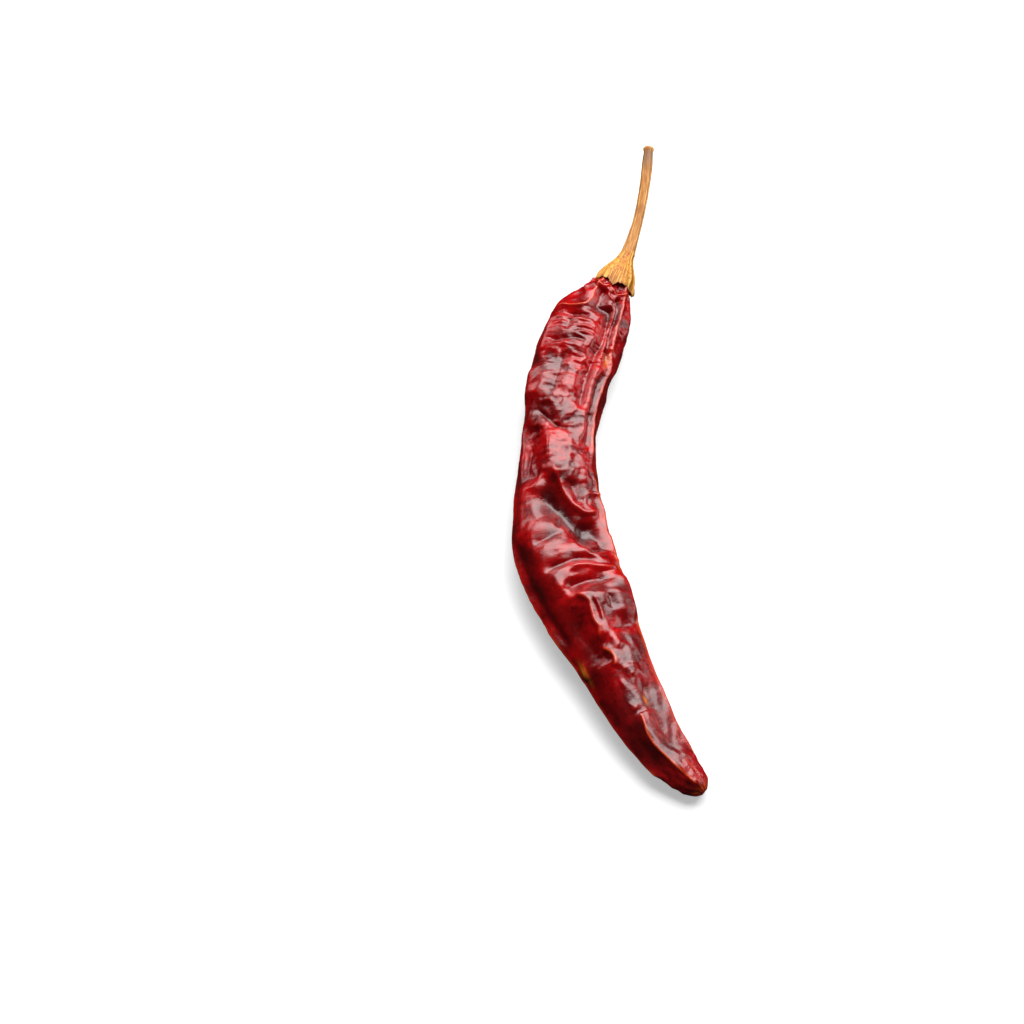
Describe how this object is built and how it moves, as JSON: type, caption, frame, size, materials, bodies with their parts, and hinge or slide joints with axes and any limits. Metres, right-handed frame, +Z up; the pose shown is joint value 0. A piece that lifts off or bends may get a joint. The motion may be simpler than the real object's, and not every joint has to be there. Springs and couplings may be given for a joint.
{
  "type": "dried chilli pepper",
  "caption": "Long dried red chilli with a wrinkled, flattened, curved pod, a flared straw-yellow calyx and a thin bent stem.",
  "frame": {"origin": "on the surface it lies on, under the middle of its bounding box", "axes": "+Z up, away from the surface; +Y along its length, from the pod's tip towards the stem; +X to the side the tip bends to"},
  "size_m": [0.0371, 0.1417, 0.0141],
  "materials": {
    "pod_skin": "thin, wrinkled, waxy dried fruit skin, glossy deep red with paler orange creases",
    "calyx": "dried, ribbed, fibrous sepals, straw yellow, satin",
    "stem": "dried, ribbed, woody stalk, tan with brown streaks, satin"
  },
  "bodies": {
    "root": {"pod": "pod_skin", "calyx": "calyx", "stem": "stem"}
  },
  "joints": []
}
